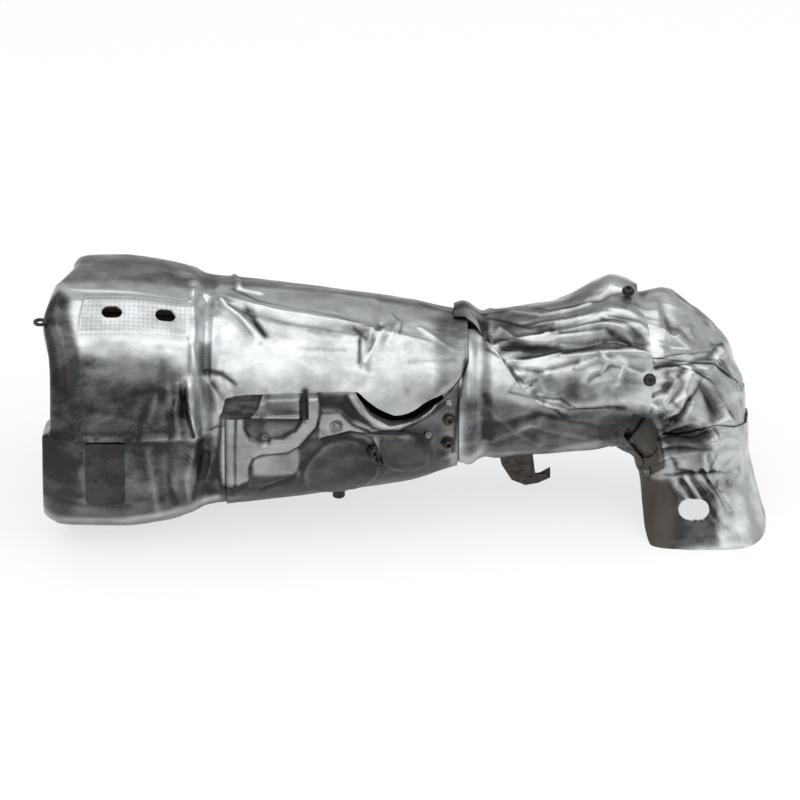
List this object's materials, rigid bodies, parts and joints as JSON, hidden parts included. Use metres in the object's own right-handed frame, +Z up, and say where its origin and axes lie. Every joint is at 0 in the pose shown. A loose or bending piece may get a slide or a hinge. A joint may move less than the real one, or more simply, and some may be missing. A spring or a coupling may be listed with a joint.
{
  "type": "exhaust heat shield",
  "caption": "Crumpled sheet-metal heat shield wrapped round a converter drum, an outlet pipe and a down-turned elbow, with a stamped side panel and a slotted mounting pad.",
  "frame": {"origin": "centre of the bounding box on the floor plane", "axes": "+X along the pipe run from the open inlet to the elbow, +Z up, -Y towards the side with the stamped panel"},
  "size_m": [0.5828, 0.2064, 0.2012],
  "materials": {
    "shell": "dull aluminised sheet, crumpled and stained",
    "panel": "dull stamped sheet",
    "pad": "bright, with fine pressed dots",
    "mat": "dark fibre mat",
    "fastener": "plain",
    "dark_fastener": "black oxide",
    "bracket": "dull, dirty"
  },
  "bodies": {
    "root": {"upper_shell": "shell", "drum_lower_shell": "shell", "side_panel": "panel", "rear_lower_sleeve": "shell", "rear_upper_sleeve": "shell", "elbow_cap": "shell", "elbow_front_shell": "shell", "foot_skirt": "shell", "insulation_mat": "mat", "doubler_pad": "pad", "lower_plate": "bracket", "plate_rivets": "fastener", "panel_rivets": "fastener", "panel_screws": "fastener", "boss_screw": "dark_fastener", "sleeve_screws": "dark_fastener", "sleeve_rivet": "fastener", "elbow_rivet": "fastener", "rosette_rivet": "fastener", "leaf_rivet": "fastener", "back_seam_rivets": "fastener", "eyelet_tab": "bracket", "bottom_stud": "bracket", "hook_bracket": "bracket"}
  },
  "joints": []
}
